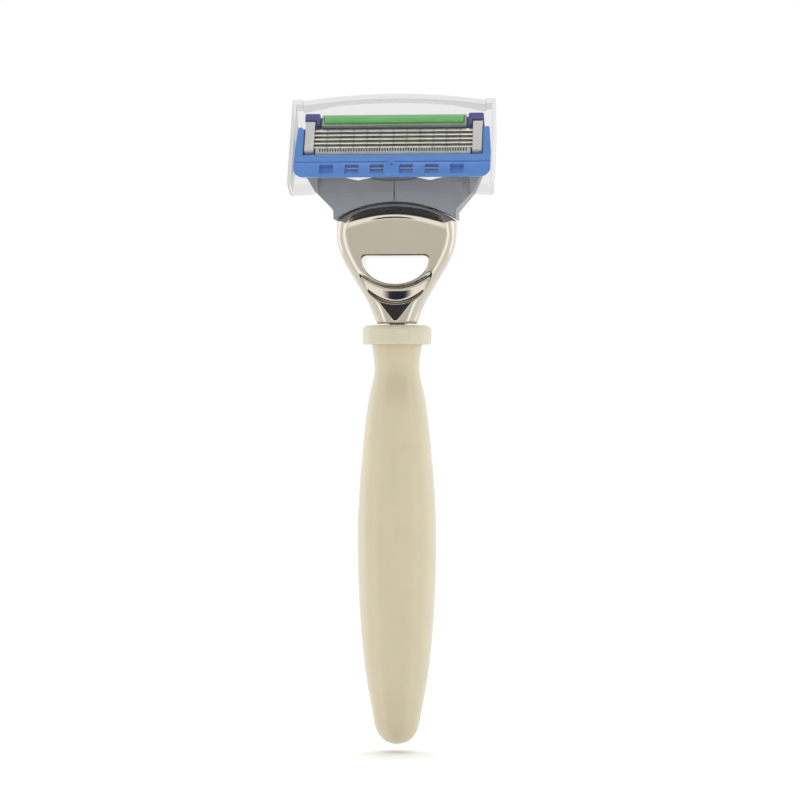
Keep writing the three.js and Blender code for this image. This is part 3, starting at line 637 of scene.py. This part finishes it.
# ---- springs ----
SPRINGS = [  # piece, CAD node, body, joint along the coil, joint that squeezes it, and how far in mm
    ("button_coil", "button_spring", "handle", "release_button_slide", "release_button_slide",
     BUTTON_TRAVEL),
    ("plunger_coil", "plunger_spring", "carrier", "plunger_slide", "cartridge_pivot",
     -PLUNGER_TRAVEL),
]


def squeezed_spring(name, node, body, along, squeezer, travel, material):
    """The CAD's coil, welded into one mesh, as a piece that rides on its body."""
    kept = frame["nodes"][node]
    mesh = kept.data.copy()
    mesh.materials.clear()
    mesh.attributes.remove(mesh.attributes["custom_normal"])
    bm = bmesh.new()
    bm.from_mesh(mesh)
    bm.transform(kept.matrix_world)
    bmesh.ops.remove_doubles(bm, verts=bm.verts, dist=SAME_POINT * MM)
    bm.to_mesh(mesh)
    bm.free()
    mesh.shade_smooth()
    made = piece(name, mesh, body, node, material)
    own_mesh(made)


# ---- stage ----
FLOOR_SIZE, FLOOR_DROP = 4, 1.5 * MM
FLOOR_COLOR = (0.93, 0.93, 0.925)
ROOM_IN_FRONT = [  # elevation in degrees, and what a polished face sees there
    (-90, (0.05, 0.05, 0.05)),
    (-32, (0.05, 0.05, 0.05)),
    (-25, (0.62, 0.61, 0.57)),
    (1, (0.645, 0.636, 0.597)),
    (6, (1.0, 1.0, 0.98)),
    (15, (1.05, 1.05, 1.04)),
    (17.5, (0.04, 0.04, 0.045)),
    (45, (0.05, 0.05, 0.055)),
    (50, (0.95, 0.95, 0.95)),
    (90, (1.1, 1.1, 1.1)),
]
ROOM_BESIDE = [  # degrees round from the front, and what a polished face sees there
    (0, (0.72, 0.71, 0.68)),
    (54, (0.72, 0.71, 0.68)),
    (60, (1.2, 1.2, 1.2)),
    (67, (1.2, 1.2, 1.2)),
    (76, (0.76, 0.75, 0.72)),
    (120, (0.9, 0.9, 0.88)),
    (180, (1.0, 1.0, 1.0)),
]
LENS_AT, LENS_HALF = (-6, 8), (6.8, 2.8)  # a dark round thing nearly straight ahead, in degrees
LENS_COLOR = (0.02, 0.022, 0.05)
LENS_CORE, LENS_RIM = 0.3, 1.2  # where it fades, as a share of its size, squared
ROOM_SOFT_FRONT = (0.66, 0.66, 0.66)  # what dull faces see in front
FRONT_FADE = (-1, 0.2)  # and how that turns to white from front to back, along Y
WHITE = (1.0, 1.0, 1.0)
SIDE_BEND = (46, 58)  # degrees round where the front's strips give way to the sides
BOXES = [  # name and place of the two soft boxes
    ("left_box", (-0.6, 0.25, 0.25)),
    ("right_box", (0.6, 0.25, 0.2)),
]
BOX_SIZE, BOX_POWER = (0.4, 1.0), 0.45
SUN_POWER, SUN_SPREAD, SUN_LEAN = 1.1, math.radians(50), math.radians(-12)


def make_floor():
    bm = bmesh.new()
    bmesh.ops.create_grid(bm, x_segments=2, y_segments=2, size=FLOOR_SIZE)
    mesh = bpy.data.meshes.new("floor")
    bm.to_mesh(mesh)
    bm.free()
    floor = bpy.data.objects.new("floor", mesh)
    floor.location.z = CAD_BOX[0].z - FLOOR_DROP
    bpy.context.scene.collection.objects.link(floor)
    material, _ = shader("floor_paint", FLOOR_COLOR, 0.9)
    mesh.materials.append(material)
    floor.visible_glossy = False


def sine_position(elevation):
    """Where an elevation in degrees falls on a ramp over the sine of elevation."""
    return (1 + math.sin(math.radians(elevation))) / 2


def stops(material, factor, table, position):
    """A ramp through a table of angles and colours."""
    made = material.node_tree.nodes.new("ShaderNodeValToRGB")
    elements = made.color_ramp.elements
    for angle, _ in table[1:-1]:
        elements.new(position(angle))
    for element, (angle, color) in zip(elements, table):
        element.position = position(angle)
        element.color = (*color, 1)
    material.node_tree.links.new(factor, made.inputs["Fac"])
    return made.outputs["Color"]


def dark_spot(world, glossy, turn, rise):
    """The glossy room with the dark round thing in it. turn and rise are its angles in radians."""
    across = number(world, "SUBTRACT", turn, math.radians(LENS_AT[0]))
    across = number(world, "DIVIDE", across, math.radians(LENS_HALF[0]))
    up = number(world, "SUBTRACT", rise, math.radians(LENS_AT[1]))
    up = number(world, "DIVIDE", up, math.radians(LENS_HALF[1]))
    squares = [number(world, "MULTIPLY", part, part) for part in (across, up)]
    apart = number(world, "ADD", *squares)
    return mixed(world, spread(world, apart, 1, 0, LENS_CORE, LENS_RIM), glossy, LENS_COLOR)


def make_world():
    """White all round. Polished faces see a duller room in front, with dark strips and a dark spot."""
    world = bpy.data.worlds.new("studio")
    bpy.context.scene.world = world
    world.use_nodes = True
    tree = world.node_tree
    where = tree.nodes.new("ShaderNodeTexCoord")
    split = tree.nodes.new("ShaderNodeSeparateXYZ")
    tree.links.new(where.outputs["Generated"], split.inputs[0])
    x, y, z = split.outputs
    turn = number(world, "ARCTAN2", x, number(world, "MULTIPLY", y, -1))
    azimuth = number(world, "ABSOLUTE", turn)
    ahead = stops(world, spread(world, z, 0, 1, -1, 1), ROOM_IN_FRONT, sine_position)
    beside = stops(world, spread(world, azimuth, 0, 1, 0, math.pi), ROOM_BESIDE, lambda a: a / 180)
    aside = spread(world, azimuth, 0, 1, *(math.radians(a) for a in SIDE_BEND))
    glossy = mixed(world, aside, ahead, beside)
    glossy = dark_spot(world, glossy, turn, number(world, "ARCSINE", z))
    soft = mixed(world, spread(world, y, 0, 1, *FRONT_FADE), ROOM_SOFT_FRONT, WHITE)
    path = tree.nodes.new("ShaderNodeLightPath")
    seen = mixed(world, path.outputs["Is Glossy Ray"], soft, glossy)
    seen = mixed(world, path.outputs["Is Camera Ray"], seen, WHITE)
    tree.links.new(seen, tree.nodes["Background"].inputs["Color"])


def soft_box(name, where):
    """A box light that looks at the collar."""
    data = bpy.data.lights.new(name, "AREA")
    data.shape = "RECTANGLE"
    data.size, data.size_y = BOX_SIZE
    data.energy = BOX_POWER
    lamp = bpy.data.objects.new(name, data)
    lamp.location = where
    lamp.rotation_euler = (-Vector(where)).to_track_quat("-Z", "Y").to_euler()
    bpy.context.scene.collection.objects.link(lamp)


def overhead_light():
    data = bpy.data.lights.new("overhead", "SUN")
    data.energy = SUN_POWER
    data.angle = SUN_SPREAD
    lamp = bpy.data.objects.new("overhead", data)
    lamp.rotation_euler = (SUN_LEAN, 0, 0)
    bpy.context.scene.collection.objects.link(lamp)


def make_camera():
    data = bpy.data.cameras.new("camera")
    data.sensor_width = SENSOR
    data.lens = SENSOR * EYE_DISTANCE / FIELD_WIDTH
    data.clip_start, data.clip_end = CLIP_NEAR, CLIP_FAR
    camera = bpy.data.objects.new("camera", data)
    right = Vector((math.cos(EYE_AZIMUTH), math.sin(EYE_AZIMUTH), 0))
    back = Vector((math.sin(EYE_AZIMUTH), -math.cos(EYE_AZIMUTH), 0))
    camera.location = back * EYE_DISTANCE + right * AIM_RIGHT + Vector((0, 0, EYE_HEIGHT))
    camera.rotation_euler = (math.pi / 2, 0, EYE_AZIMUTH)
    bpy.context.scene.collection.objects.link(camera)
    bpy.context.scene.camera = camera


# ---- putting it together ----
def build():
    looks = make_materials()
    slots = {s["node"]: s["material_slot"] for s in frame["record"]["subparts"]}
    for node, bevel in BEVELS.items():
        polish(node, looks[slots[node]], bevel)
    piece("handle", handle_mesh(), "handle", "handle_grip", looks["ivory_resin"])
    piece("collar", collar_mesh(), "handle", "neck_collar", looks["collar_resin"])
    piece("head", head_mesh(), "handle", "head_casting", looks["chrome"])
    for spring in SPRINGS:
        squeezed_spring(*spring, looks["spring_steel"])
    # the housing's ribs across the guard's windows, coloured with a pale painted highlight
    piece("window_ribs", window_ribs_mesh(), "cartridge", None, looks["indigo_painted_highlight"])


make_camera()
make_floor()
make_world()
for box in BOXES:
    soft_box(*box)
overhead_light()
build()
bpy.context.scene.view_settings.view_transform = "Standard"
